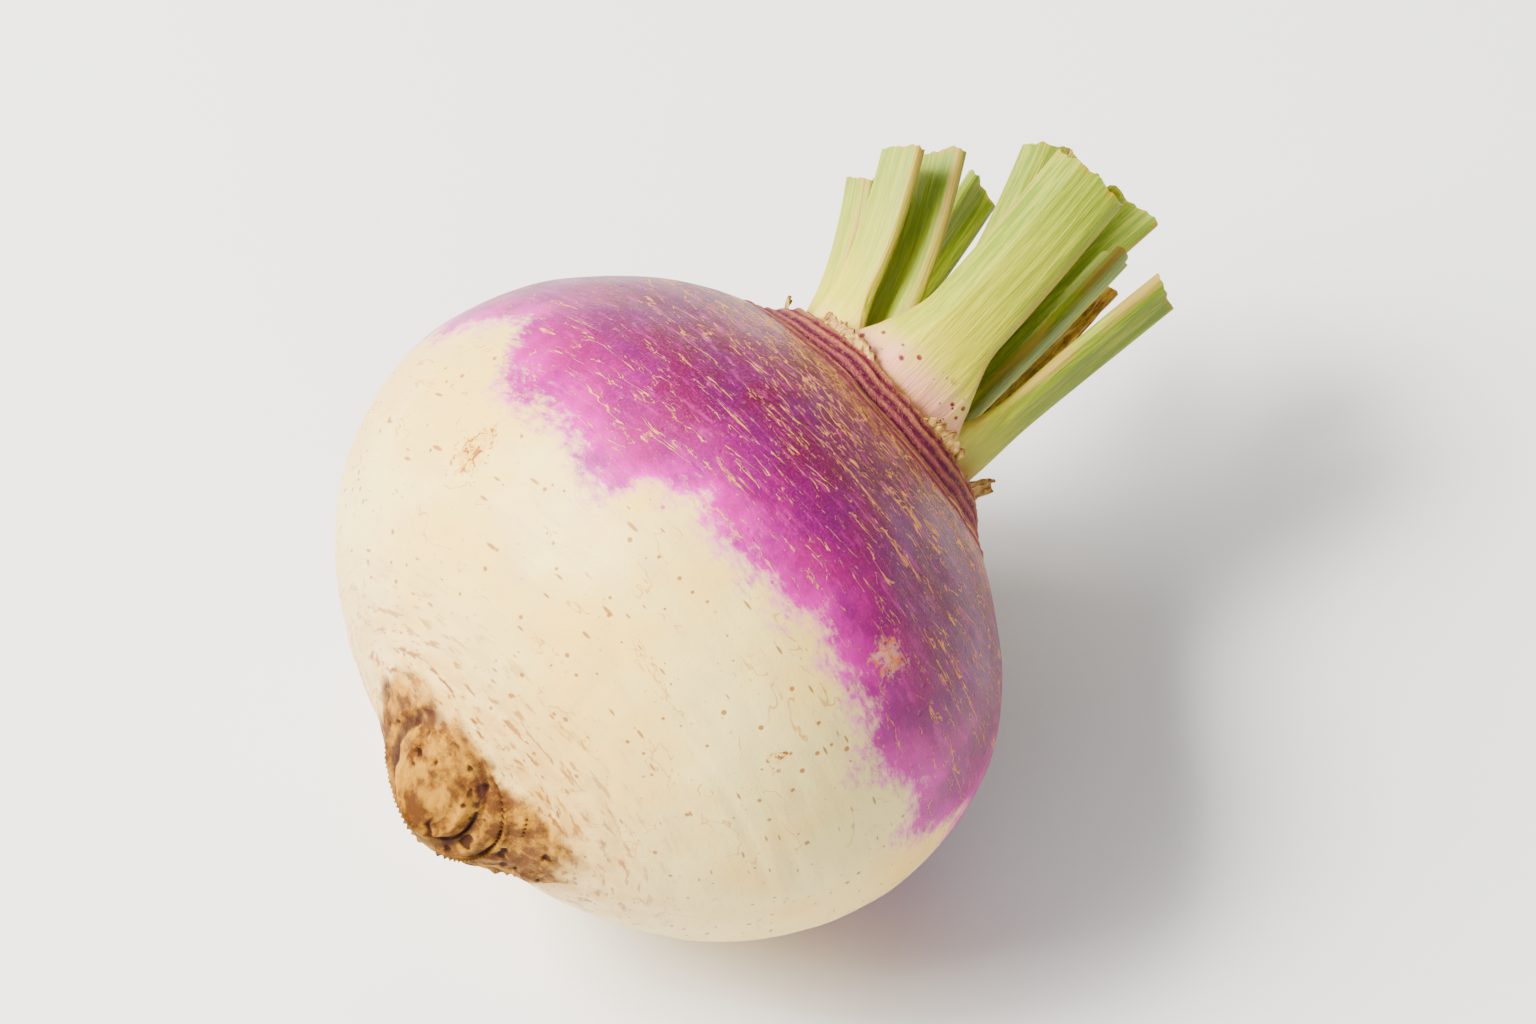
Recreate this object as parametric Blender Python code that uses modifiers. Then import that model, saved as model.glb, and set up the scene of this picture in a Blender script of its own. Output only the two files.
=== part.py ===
"""A purple-top turnip lying on its side, as pulled and trimmed: one swollen root with its tap-root
stub, the cut leaf stalks that stand on its crown, one withered stalk, and dry leaf bases round them.

The axis of the root lies along +X, from the tap-root stub to the stalks, and +Z is up. The origin is
the middle of the small flat spot that the root rests on. All sizes are in metres.
"""

import math
from collections import namedtuple

import bmesh
import bpy
from mathutils import Matrix, Vector, noise

MM = 0.001

# The swollen root: a round body that is a little shorter than it is wide.
GIRTH_RADIUS = 38 * MM
CROWN_DEPTH = 34.4 * MM  # from the widest section to the crown's pole, before the crown is shaped
ROOT_DEPTH = 30.6 * MM  # from the widest section to the root's pole, without the stub
STUB_HEIGHT = 6.0 * MM  # how far the tap-root stub stands out of the round body
STUB_SPREAD = 9.2 * MM  # distance from the axis at which the stub has mostly died away
STUB_BLUNTNESS = 2.4  # exponent of the stub's fall: above 2 it is blunter than a bell curve
LUMP_HEIGHT = 0.7 * MM
LUMP_SIZE = 26 * MM
OVAL = 0.018  # share by which the round sections are oval
OVAL_TURN = math.radians(25)
CHEEK_HEIGHT = 1.5 * MM  # one side of the root is fuller near the crown
CHEEK_TURN = math.radians(200)
CHEEK_X = 20 * MM
CHEEK_LENGTH = 15 * MM

# The crown: a low neck that the stalks stand on, with a ring-shaped groove round it. The crown end of
# the plant leans a little to one side of the root's axis.
CROWN_FLOOR = 34.2 * MM
CROWN_RADIUS = 13.0 * MM
SHOULDER_RADIUS = 17.6 * MM  # where the round body begins again outside the neck
GROOVE_RADIUS = 16.2 * MM
GROOVE_WIDTH = 0.8 * MM
GROOVE_DEPTH = 0.7 * MM
LEAN = math.radians(11)
LEAN_TURN = math.radians(110)
LEAN_PIVOT_X = 8 * MM
LEAN_END_X = 28 * MM  # beyond this the whole lean has been reached

# The spot that the root rests on is cut this far into its widest section.
FLAT_DEPTH = 0.9 * MM
AXIS_HEIGHT = GIRTH_RADIUS - FLAT_DEPTH

ROOT_SIDES = 60
ROOT_RINGS = 44
POLE_DENSITY = 0.25  # draws the rings towards both poles, where the shape has its detail

# The leaf stalks. Places on the crown are given as a distance to the side and a distance up, where
# up is the way that the crown leans. Facing is the turn of a stalk's outer face from up to the side.
GAP = 0.3 * MM  # clearance between two pieces that touch in the grown plant
STALK_SIDES = 16
STALK_RINGS = 8
STALK_RISE = 0.36  # share of its length that a stalk runs straight up before it leans
STALK_SQUARENESS = 2.6  # exponent of the superellipse that is a stalk's section
CHANNEL = 0.30  # depth of the channel on a stalk's inner face, as a share of its thickness
CLASP = 0.05 / MM  # curvature of a stalk's foot, which bends round the crown
SHEATH_END = 0.45  # share of its length at which a stalk's foot has narrowed to the stalk

Stalk = namedtuple("Stalk", "side up tip_side tip_up tip_x facing foot top thickness")
STALKS = {
    # name: foot's side and up, tip's side, up and x, facing, foot and top widths, thickness
    "leaf_stalk_1": Stalk(-10.7, -3.7, -19.4, -4.0, 50.2, -100, 6.4, 4.6, 3.4),
    "leaf_stalk_2": Stalk(-9.9, 3.5, -18.7, 4.5, 53.7, -66, 6.6, 4.4, 3.4),
    "leaf_stalk_3": Stalk(-4.6, 1.2, -15.4, -1.0, 57.6, -75, 4.6, 5.2, 4.2),
    "leaf_stalk_4": Stalk(-6.0, -8.8, -10.4, -11.0, 60.0, -145, 5.4, 4.8, 3.4),
    "leaf_stalk_5": Stalk(0.6, 4.6, -8.8, 2.0, 66.0, -12, 5.0, 4.4, 3.0),
    "leaf_stalk_6": Stalk(-0.2, 10.2, -3.1, 9.5, 65.9, -2, 15.0, 7.8, 4.2),
    "leaf_stalk_7": Stalk(1.6, -7.6, 2.2, -7.5, 70.6, 172, 6.4, 6.4, 3.8),
    "leaf_stalk_8": Stalk(9.8, 2.6, 10.9, 4.0, 64.2, 74, 8.6, 4.8, 3.6),
    "leaf_stalk_9": Stalk(0.8, -1.2, -4.6, -3.2, 68.8, 180, 5.0, 4.4, 3.2),
    "leaf_stalk_10": Stalk(6.0, -0.6, 4.6, -0.4, 63.9, 100, 4.8, 5.0, 3.2),
    "withered_stalk": Stalk(8.6, -7.2, 7.4, -8.5, 62.5, 130, 3.4, 2.4, 1.6),
}

# The dry leaf bases: papery flakes that stand on the edge of the neck, round the stalks.
FLAKE_THICKNESS = 0.5 * MM
FLAKE_CELLS = 6
FLAKE_LEAN = math.radians(28)
FLAKE_CURL = 0.9 * MM
Flake = namedtuple("Flake", "facing out width height")
FLAKES = {
    # name: facing, distance from the axis, width and height
    "dry_leaf_base_1": Flake(-92, 15.2, 4.0, 1.9),
    "dry_leaf_base_2": Flake(-32, 13.5, 11.0, 2.4),
    "dry_leaf_base_3": Flake(27, 13.5, 7.0, 2.2),
    "dry_leaf_base_4": Flake(80, 13.6, 7.0, 3.4),
    "dry_leaf_base_5": Flake(145, 13.4, 8.0, 2.8),
    "dry_leaf_base_6": Flake(-150, 13.4, 8.0, 2.6),
}


def clear_scene():
    for obj in list(bpy.data.objects):
        bpy.data.objects.remove(obj, do_unlink=True)


def finish(name, colour, roughness):
    """A material of one colour for one kind of piece."""
    material = bpy.data.materials.new(name)
    material.use_nodes = True
    shader = material.node_tree.nodes["Principled BSDF"]
    shader.inputs["Base Color"].default_value = (*colour, 1)
    shader.inputs["Roughness"].default_value = roughness
    shader.inputs["Metallic"].default_value = 0
    return material


def add_piece(name, bm, material, collection, parent):
    """Makes the bmesh a named object, with its faces outwards, on the turnip's axis."""
    bm.normal_update()
    bmesh.ops.recalc_face_normals(bm, faces=bm.faces)
    mesh = bpy.data.meshes.new(name)
    bm.to_mesh(mesh)
    bm.free()
    mesh.shade_smooth()
    mesh.set_sharp_from_angle(angle=math.radians(50))
    mesh.materials.append(material)
    piece = bpy.data.objects.new(name, mesh)
    collection.objects.link(piece)
    piece.parent = parent
    return piece


def about_axis(x, out, turn):
    """The point at x on the axis, moved out from it by a distance, at a turn about it."""
    return Vector((x, out * math.cos(turn), out * math.sin(turn)))


def smooth_step(low, high, value):
    share = min(1, max(0, (value - low) / (high - low)))
    return share * share * (3 - 2 * share)


def leant(point, lean):
    """The point turned about the lean's pivot, towards the side that the crown leans to."""
    up = about_axis(0, 1, LEAN_TURN)
    pivot = Vector((LEAN_PIVOT_X, 0, 0))
    turning = Matrix.Rotation(lean, 3, Vector((1, 0, 0)).cross(up))
    return pivot + turning @ (point - pivot)


def on_crown(x, side, up):
    """A place on the leaning crown, from its height along the axis and its distances across it."""
    upwards = about_axis(0, 1, LEAN_TURN)
    sideways = about_axis(0, 1, LEAN_TURN + math.pi / 2)
    return leant(Vector((x, 0, 0)) + sideways * side + upwards * up, LEAN)


def crown_height(out):
    """How far along the axis the crown end's surface lies, at a distance out from the axis."""
    round_x = CROWN_DEPTH * math.sqrt(max(0, 1 - (out / GIRTH_RADIUS) ** 2))
    shoulder = smooth_step(CROWN_RADIUS, SHOULDER_RADIUS, out)
    groove = GROOVE_DEPTH * math.exp(-(((out - GROOVE_RADIUS) / GROOVE_WIDTH) ** 2))
    return CROWN_FLOOR + (round_x - CROWN_FLOOR) * shoulder - groove


def root_surface(polar, turn):
    """The root's surface, from the crown's pole at polar 0 to the tap-root stub at polar pi."""
    out = GIRTH_RADIUS * math.sin(polar)
    if polar < math.pi / 2:
        x = crown_height(out)
        uneven = smooth_step(CROWN_RADIUS, SHOULDER_RADIUS, out)
    else:
        x = ROOT_DEPTH * math.cos(polar)
        x -= STUB_HEIGHT * math.exp(-((out / STUB_SPREAD) ** STUB_BLUNTNESS))
        uneven = 1
    point = about_axis(x, out, turn)
    lump = LUMP_HEIGHT * noise.noise(point / LUMP_SIZE) * math.sin(polar)
    oval = OVAL * out * math.cos(2 * (turn - OVAL_TURN))
    cheek = CHEEK_HEIGHT * math.exp(-(((x - CHEEK_X) / CHEEK_LENGTH) ** 2))
    cheek *= max(0, math.cos(turn - CHEEK_TURN)) ** 1.5
    point += about_axis(0, 1, turn) * (lump + oval + cheek) * uneven
    return leant(point, LEAN * smooth_step(0, LEAN_END_X, x))


def build_root(collection, parent, material):
    """The swollen root and its tap-root stub, which grew as one piece."""
    bm = bmesh.new()
    bmesh.ops.create_uvsphere(bm, u_segments=ROOT_SIDES, v_segments=ROOT_RINGS, radius=1)
    for vert in bm.verts:
        even = math.acos(max(-1, min(1, vert.co.z)))
        polar = even - POLE_DENSITY * math.sin(2 * even)
        vert.co = root_surface(polar, math.atan2(vert.co.y, vert.co.x))
    bmesh.ops.bisect_plane(
        bm,
        geom=[*bm.verts, *bm.edges, *bm.faces],
        dist=0.01 * MM,
        plane_co=(0, 0, -AXIS_HEIGHT),
        plane_no=(0, 0, -1),
        clear_outer=True,
    )
    bmesh.ops.holes_fill(bm, edges=[edge for edge in bm.edges if edge.is_boundary])
    return add_piece("root", bm, material, collection, parent)


def stalk_spine(stalk, share):
    """A point of the stalk's middle line, and the line's direction there."""
    foot = Vector((CROWN_FLOOR + GAP, stalk.side * MM, stalk.up * MM))
    tip = Vector((stalk.tip_x * MM, stalk.tip_side * MM, stalk.tip_up * MM))
    bend = foot + Vector(((tip.x - foot.x) * STALK_RISE, 0, 0))
    point = foot.lerp(bend, share).lerp(bend.lerp(tip, share), share)
    direction = (bend - foot).lerp(tip - bend, share).normalized()
    return point, direction


def stalk_surface(stalk, share, angle):
    """A stalk's skin: angle 0 is one edge, and a quarter turn on is the middle of its outer face."""
    middle, along = stalk_spine(stalk, share)
    facing = math.radians(stalk.facing)
    facing = Vector((0, math.sin(facing), math.cos(facing)))
    outwards = (facing - along * facing.dot(along)).normalized()
    across = along.cross(outwards)
    flare = 1 - smooth_step(0, SHEATH_END, share)
    half_width = (stalk.top + (stalk.foot - stalk.top) * flare) * MM / 2
    half_thick = stalk.thickness * MM / 2
    power = 2 / STALK_SQUARENESS
    wide = math.copysign(abs(math.cos(angle)) ** power, math.cos(angle))
    depth = math.copysign(abs(math.sin(angle)) ** power, math.sin(angle))
    if depth < 0:
        depth += 2 * CHANNEL * (1 - wide * wide) * (1 - flare)
    clasp = CLASP * flare * (half_width * wide) ** 2
    point = middle + across * half_width * wide + outwards * (half_thick * depth - clasp)
    return on_crown(*point)


def build_stalk(name, stalk, collection, parent, material):
    """A cut leaf stalk: a cylinder, divided along its length and drawn over the stalk's shape."""
    bm = bmesh.new()
    bmesh.ops.create_cone(
        bm, cap_ends=True, segments=STALK_SIDES, radius1=1, radius2=1, depth=1
    )
    lengthwise = [edge for edge in bm.edges if abs(edge.verts[0].co.z - edge.verts[1].co.z) > 0.5]
    bmesh.ops.subdivide_edges(bm, edges=lengthwise, cuts=STALK_RINGS - 1, use_grid_fill=True)
    for vert in bm.verts:
        vert.co = stalk_surface(stalk, vert.co.z + 0.5, math.atan2(vert.co.y, vert.co.x))
    return add_piece(name, bm, material, collection, parent)


def build_flake(name, flake, collection, parent, material):
    """A dry leaf base: a small grid, bent round the crown, leaned outwards and given its thickness."""
    bm = bmesh.new()
    bmesh.ops.create_grid(bm, x_segments=FLAKE_CELLS, y_segments=FLAKE_CELLS // 2, size=0.5)
    foot_out = flake.out * MM
    foot_x = crown_height(foot_out - FLAKE_THICKNESS / 2) + GAP
    for vert in bm.verts:
        across, up = vert.co.x, vert.co.y + 0.5
        narrowing = 1 - 0.45 * up * up
        facing = math.radians(flake.facing) + across * narrowing * flake.width * MM / foot_out
        height = up * flake.height * MM * (1 - 1.2 * across * across)
        out = foot_out + height * math.sin(FLAKE_LEAN) + FLAKE_CURL * up * across * across
        x = foot_x + height * math.cos(FLAKE_LEAN)
        vert.co = on_crown(x, out * math.sin(facing), out * math.cos(facing))
    piece = add_piece(name, bm, material, collection, parent)
    thickness = piece.modifiers.new("thickness", "SOLIDIFY")
    thickness.thickness = FLAKE_THICKNESS
    thickness.offset = 0
    return piece


def main():
    clear_scene()
    collection = bpy.data.collections.new("turnip")
    bpy.context.scene.collection.children.link(collection)
    axis = bpy.data.objects.new("turnip_axis", None)
    axis.matrix_world = Matrix.Translation((0, 0, AXIS_HEIGHT))
    collection.objects.link(axis)

    root_skin = finish("root_skin", (0.72, 0.45, 0.50), 0.4)
    green_stalk = finish("green_stalk", (0.50, 0.55, 0.15), 0.5)
    dry_leaf = finish("dry_leaf", (0.45, 0.30, 0.15), 0.85)

    build_root(collection, axis, root_skin)
    for name, stalk in STALKS.items():
        withered = name == "withered_stalk"
        build_stalk(name, stalk, collection, axis, dry_leaf if withered else green_stalk)
    for name, flake in FLAKES.items():
        build_flake(name, flake, collection, axis, dry_leaf)


main()
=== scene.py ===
"""A purple-top turnip lying on its side, as pulled and trimmed: the skin, the ringed neck, the corky
tap-root stub, the cut leaf stalks and the dry leaf bases, on a plain pale table in soft light.

The root's axis lies along +X, from the stub to the stalks, and +Z is up. Lengths are in metres.
"""

import math

import bpy
import numpy as np
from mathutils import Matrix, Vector, noise


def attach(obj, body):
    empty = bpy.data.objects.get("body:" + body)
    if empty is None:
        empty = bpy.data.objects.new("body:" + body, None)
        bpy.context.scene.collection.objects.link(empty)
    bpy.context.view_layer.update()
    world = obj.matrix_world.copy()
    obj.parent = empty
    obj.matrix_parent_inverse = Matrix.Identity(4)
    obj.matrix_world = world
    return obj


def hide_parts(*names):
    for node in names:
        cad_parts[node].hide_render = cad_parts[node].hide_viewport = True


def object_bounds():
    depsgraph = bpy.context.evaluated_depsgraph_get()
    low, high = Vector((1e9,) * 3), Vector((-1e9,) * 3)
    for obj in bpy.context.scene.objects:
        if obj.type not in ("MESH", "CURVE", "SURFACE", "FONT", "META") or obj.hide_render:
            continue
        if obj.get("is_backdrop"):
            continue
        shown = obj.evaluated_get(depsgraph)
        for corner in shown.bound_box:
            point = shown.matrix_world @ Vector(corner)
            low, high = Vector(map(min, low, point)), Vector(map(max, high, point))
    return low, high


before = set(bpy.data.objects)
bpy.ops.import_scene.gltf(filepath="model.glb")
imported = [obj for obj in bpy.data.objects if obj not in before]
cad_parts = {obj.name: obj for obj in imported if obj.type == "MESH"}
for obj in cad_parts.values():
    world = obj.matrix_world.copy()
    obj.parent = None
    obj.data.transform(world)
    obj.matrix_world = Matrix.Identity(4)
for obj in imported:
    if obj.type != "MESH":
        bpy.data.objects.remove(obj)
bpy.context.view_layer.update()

MM = 0.001

# ---------------------------------------------------------------------------------------------
# The sizes of the turnip, as its solids have them.

GIRTH_RADIUS = 38 * MM
CROWN_DEPTH = 34.4 * MM
ROOT_DEPTH = 30.6 * MM
STUB_HEIGHT = 6.0 * MM
STUB_SPREAD = 9.2 * MM
STUB_BLUNTNESS = 2.4
LUMP_HEIGHT = 0.7 * MM
LUMP_SIZE = 26 * MM
OVAL = 0.018
OVAL_TURN = math.radians(25)
CHEEK_HEIGHT = 1.5 * MM
CHEEK_TURN = math.radians(200)
CHEEK_X = 20 * MM
CHEEK_LENGTH = 15 * MM

CROWN_FLOOR = 34.2 * MM
CROWN_RADIUS = 13.0 * MM
SHOULDER_RADIUS = 17.6 * MM
LEAN = math.radians(11)
LEAN_TURN = math.radians(110)
LEAN_PIVOT_X = 8 * MM
LEAN_END_X = 28 * MM
AXIS_HEIGHT = 37.1 * MM

AXIS = np.array([1.0, 0.0, 0.0])
UP = np.array([0.0, math.cos(LEAN_TURN), math.sin(LEAN_TURN)])
SIDE = np.array([0.0, math.cos(LEAN_TURN + math.pi / 2), math.sin(LEAN_TURN + math.pi / 2)])

# ---------------------------------------------------------------------------------------------
# Small tools for shaping.

LATTICE = np.random.default_rng(11).permutation(256)
LEVELS = np.random.default_rng(12).uniform(-1, 1, 256)


def grain(points, size, seed=0):
    """Smooth noise from -1 to 1 at each point, with lumps of one size, or of one size per axis."""
    spread = np.asarray(points, float) / size + seed * 17.31
    cell = np.floor(spread).astype(int)
    part = spread - cell
    part = part * part * (3 - 2 * part)
    total = np.zeros(len(spread))
    for dx in (0, 1):
        for dy in (0, 1):
            for dz in (0, 1):
                key = LATTICE[(cell[:, 0] + dx) & 255]
                key = LATTICE[(key + cell[:, 1] + dy) & 255]
                key = LATTICE[(key + cell[:, 2] + dz) & 255]
                weight = np.where(dx, part[:, 0], 1 - part[:, 0])
                weight = weight * np.where(dy, part[:, 1], 1 - part[:, 1])
                weight = weight * np.where(dz, part[:, 2], 1 - part[:, 2])
                total += weight * LEVELS[key]
    return total


def layered_grain(points, size, layers, seed=0):
    """Noise in several layers, each half as large and half as strong as the one before."""
    total = np.zeros(len(points))
    strength = 1.0
    for layer in range(layers):
        total += strength * grain(points, size / 2**layer, seed + layer * 3.7)
        strength /= 2
    return total


def smooth_step(low, high, value):
    share = np.clip((value - low) / (high - low), 0, 1)
    return share * share * (3 - 2 * share)


def ridge(value, centre, width):
    """A rounded ridge of height 1 round a centre."""
    return np.exp(-(((value - centre) / width) ** 2))


def corners(piece):
    """The piece's points, as rows of x, y and z."""
    co = np.empty(len(piece.data.vertices) * 3)
    piece.data.vertices.foreach_get("co", co)
    return co.reshape(-1, 3)


def move_corners(piece, co):
    piece.data.vertices.foreach_set("co", np.ascontiguousarray(co, float).ravel())
    piece.data.update()


def corner_normals(piece):
    co = np.empty(len(piece.data.vertices) * 3)
    piece.data.vertices.foreach_get("normal", co)
    return co.reshape(-1, 3)


def keep_values(piece, name, values):
    """Keeps one number or one vector for each point, for the materials to read."""
    values = np.asarray(values, float)
    kind, field = ("FLOAT", "value") if values.ndim == 1 else ("FLOAT_VECTOR", "vector")
    kept = piece.data.attributes.new(name, kind, "POINT")
    kept.data.foreach_set(field, np.ascontiguousarray(values).ravel())


def leant(points, angle):
    """The points turned about the lean's pivot, towards the side that the crown leans to."""
    x = points[:, 0] - LEAN_PIVOT_X
    up, side = points @ UP, points @ SIDE
    turned_x = LEAN_PIVOT_X + x * np.cos(angle) - up * np.sin(angle)
    turned_up = up * np.cos(angle) + x * np.sin(angle)
    return turned_x[:, None] * AXIS + turned_up[:, None] * UP + side[:, None] * SIDE


def on_crown(x, side, up):
    """Places on the leaning crown, from their height along the axis and distances across it."""
    points = np.outer(x, AXIS) + np.outer(side, SIDE) + np.outer(up, UP)
    return leant(points, LEAN) + np.array([0, 0, AXIS_HEIGHT])


def select_none():
    if bpy.context.mode != "OBJECT":
        bpy.ops.object.mode_set(mode="OBJECT")
    bpy.ops.object.select_all(action="DESELECT")


def name_new(name):
    piece = bpy.context.object
    piece.name = name
    piece.data.name = name
    return piece


def settle(piece):
    """Puts the object at the origin, unturned, with its place in its mesh."""
    select_none()
    piece.select_set(True)
    bpy.context.view_layer.objects.active = piece
    bpy.ops.object.transform_apply(location=True, rotation=True, scale=True)


def pick(piece, mode, test):
    """Selects the edges or faces that pass a test, and leaves the piece in edit mode."""
    if bpy.context.mode != "OBJECT":
        bpy.ops.object.mode_set(mode="OBJECT")
    bpy.context.view_layer.objects.active = piece
    piece.select_set(True)
    bpy.ops.object.mode_set(mode="EDIT")
    bpy.ops.mesh.select_mode(type=mode)
    bpy.ops.mesh.select_all(action="DESELECT")
    bpy.ops.object.mode_set(mode="OBJECT")
    found = piece.data.edges if mode == "EDGE" else piece.data.polygons
    for part in found:
        part.select = test(part)
    bpy.ops.object.mode_set(mode="EDIT")


def face_out(piece):
    """Turns every face outwards."""
    pick(piece, "FACE", lambda face: True)
    bpy.ops.mesh.select_all(action="SELECT")
    bpy.ops.mesh.normals_make_consistent(inside=False)
    bpy.ops.object.mode_set(mode="OBJECT")


def apply_modifier(piece, kind, **settings):
    modifier = piece.modifiers.new(kind.lower(), kind)
    for key, value in settings.items():
        setattr(modifier, key, value)
    select_none()
    piece.select_set(True)
    bpy.context.view_layer.objects.active = piece
    bpy.ops.object.modifier_apply(modifier=modifier.name)


def smooth(piece, degrees=180):
    select_none()
    piece.select_set(True)
    bpy.context.view_layer.objects.active = piece
    if degrees >= 180:
        bpy.ops.object.shade_smooth()
    else:
        bpy.ops.object.shade_smooth_by_angle(angle=math.radians(degrees))


def place(piece, material, slot, *nodes):
    """Gives a finished piece its material and its place in the frame."""
    piece.data.materials.clear()
    piece.data.materials.append(material)
    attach(piece, "root")
    if nodes:
        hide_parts(*nodes)


# ---------------------------------------------------------------------------------------------
# Small tools for materials.


def put(tree, kind, inputs=None, **settings):
    """Adds a node, sets it up, and fills its inputs with values or with other nodes' outputs."""
    made = tree.nodes.new("ShaderNode" + kind)
    for key, value in settings.items():
        setattr(made, key, value)
    for key, value in (inputs or {}).items():
        socket = made.inputs[key]
        if isinstance(value, bpy.types.NodeSocket):
            tree.links.new(value, socket)
        else:
            socket.default_value = value
    return made


def maths(tree, operation, a, b=0.0, c=0.0, clamp=False):
    inputs = {0: a, 1: b} if operation != "MULTIPLY_ADD" else {0: a, 1: b, 2: c}
    return put(tree, "Math", inputs, operation=operation, use_clamp=clamp).outputs[0]


def span(tree, value, low, high, to_low=0.0, to_high=1.0):
    """Carries a value from one range to another, eased at both ends."""
    inputs = {"Value": value, "From Min": low, "From Max": high, "To Min": to_low, "To Max": to_high}
    return put(tree, "MapRange", inputs, interpolation_type="SMOOTHSTEP").outputs[0]


def blend_colours(tree, share, under, over, how="MIX"):
    inputs = {0: share, 6: under, 7: over}
    return put(tree, "Mix", inputs, data_type="RGBA", blend_type=how, clamp_factor=True).outputs[2]


RICHNESS = 1.38


def colour(red, green, blue):
    """A colour from its everyday 0 to 255 values, made a little richer for the soft light."""
    linear = [(value / 255) ** 2.2 for value in (red, green, blue)]
    grey = 0.25 * linear[0] + 0.65 * linear[1] + 0.10 * linear[2]
    return (*(min(1, max(0.004, grey + (value - grey) * RICHNESS)) for value in linear), 1)


def colour_ramp(tree, value, stops):
    ramp = put(tree, "ValToRGB", {"Fac": value}).color_ramp
    while len(ramp.elements) < len(stops):
        ramp.elements.new(0.5)
    for element, (position, shade) in zip(ramp.elements, stops):
        element.position = position
        element.color = shade
    return tree.nodes[-1].outputs["Color"]


def stretched(tree, vector, x, y, z):
    return put(tree, "VectorMath", {0: vector, 1: (x, y, z)}, operation="MULTIPLY").outputs[0]


def cloud(tree, vector, scale, detail=2.0, roughness=0.5, distortion=0.0):
    inputs = {"Vector": vector, "Scale": scale, "Detail": detail, "Roughness": roughness}
    inputs["Distortion"] = distortion
    return put(tree, "TexNoise", inputs).outputs["Fac"]


def new_group(name, inputs, outputs):
    """An empty node group. Inputs are (name, kind, value) and outputs are (name, kind)."""
    group = bpy.data.node_groups.new(name, "ShaderNodeTree")
    for label, kind, value in inputs:
        made = group.interface.new_socket(label, in_out="INPUT", socket_type="NodeSocket" + kind)
        if value is not None:
            made.default_value = value
    for label, kind in outputs:
        group.interface.new_socket(label, in_out="OUTPUT", socket_type="NodeSocket" + kind)
    return group, group.nodes.new("NodeGroupInput"), group.nodes.new("NodeGroupOutput")


def use_group(tree, group, inputs):
    made = tree.nodes.new("ShaderNodeGroup")
    made.node_tree = group
    for key, value in inputs.items():
        if isinstance(value, bpy.types.NodeSocket):
            tree.links.new(value, made.inputs[key])
        else:
            made.inputs[key].default_value = value
    return made


def freckle_group():
    """Small round spots, each with its own size, kept where a patchy cloud allows them."""
    group, given, out = new_group(
        "freckles",
        [
            ("Vector", "Vector", None),
            ("Scale", "Float", 1.0),
            ("Size", "Float", 0.2),
            ("Share", "Float", 0.4),
        ],
        [("Mask", "Float")],
    )
    cells = put(group, "TexVoronoi", {"Vector": given.outputs["Vector"], "Scale": given.outputs["Scale"]})
    chance = put(group, "SeparateColor", {0: cells.outputs["Color"]})
    size = maths(group, "MULTIPLY", chance.outputs[1], given.outputs["Size"])
    inner = maths(group, "MULTIPLY", size, 0.55)
    spot = put(
        group,
        "MapRange",
        {"Value": cells.outputs["Distance"], "From Min": size, "From Max": inner},
        interpolation_type="SMOOTHSTEP",
    ).outputs[0]
    allowed = maths(group, "LESS_THAN", chance.outputs[0], given.outputs["Share"])
    group.links.new(maths(group, "MULTIPLY", spot, allowed), out.inputs["Mask"])
    return group


def corky_line_group():
    """Thin broken lines, as where a skin has split in growing and healed."""
    group, given, out = new_group(
        "corky_lines",
        [
            ("Vector", "Vector", None),
            ("Scale", "Float", 1.0),
            ("Width", "Float", 0.03),
            ("Share", "Float", 0.5),
        ],
        [("Mask", "Float")],
    )
    wander = cloud(group, given.outputs["Vector"], given.outputs["Scale"], 3.0, 0.55, 0.4)
    away = maths(group, "ABSOLUTE", maths(group, "SUBTRACT", wander, 0.5))
    drawn = stretched(group, given.outputs["Vector"], 1.7, 0.8, 0.8)
    breaks = cloud(group, drawn, given.outputs["Scale"], 2.0)
    allowed = put(
        group,
        "MapRange",
        {
            "Value": breaks,
            "From Min": maths(group, "SUBTRACT", 0.82, maths(group, "MULTIPLY", given.outputs["Share"], 0.6)),
            "From Max": maths(group, "SUBTRACT", 0.94, maths(group, "MULTIPLY", given.outputs["Share"], 0.6)),
        },
        interpolation_type="SMOOTHSTEP",
    ).outputs[0]
    width = maths(group, "MULTIPLY", given.outputs["Width"], allowed)
    line = put(
        group,
        "MapRange",
        {"Value": away, "From Min": width, "From Max": maths(group, "MULTIPLY", width, 0.35)},
        interpolation_type="SMOOTHSTEP",
    ).outputs[0]
    group.links.new(maths(group, "MULTIPLY", line, allowed), out.inputs["Mask"])
    return group


def fibre_group():
    """Long fine fibres: a height and a mask, from a coordinate whose x runs along the piece."""
    group, given, out = new_group(
        "fibres",
        [("Vector", "Vector", None), ("Fineness", "Float", 1.0), ("Waviness", "Float", 0.2)],
        [("Height", "Float"), ("Mask", "Float")],
    )
    thin = stretched(group, given.outputs["Vector"], 0.06, 1.0, 1.0)
    coarse = cloud(group, thin, given.outputs["Fineness"], 2.0, 0.6, given.outputs["Waviness"])
    fine = cloud(group, thin, maths(group, "MULTIPLY", given.outputs["Fineness"], 3.1), 2.0, 0.6)
    height = maths(group, "ADD", maths(group, "MULTIPLY", coarse, 0.65), maths(group, "MULTIPLY", fine, 0.35))
    group.links.new(height, out.inputs["Height"])
    group.links.new(span(group, height, 0.42, 0.62), out.inputs["Mask"])
    return group


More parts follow.
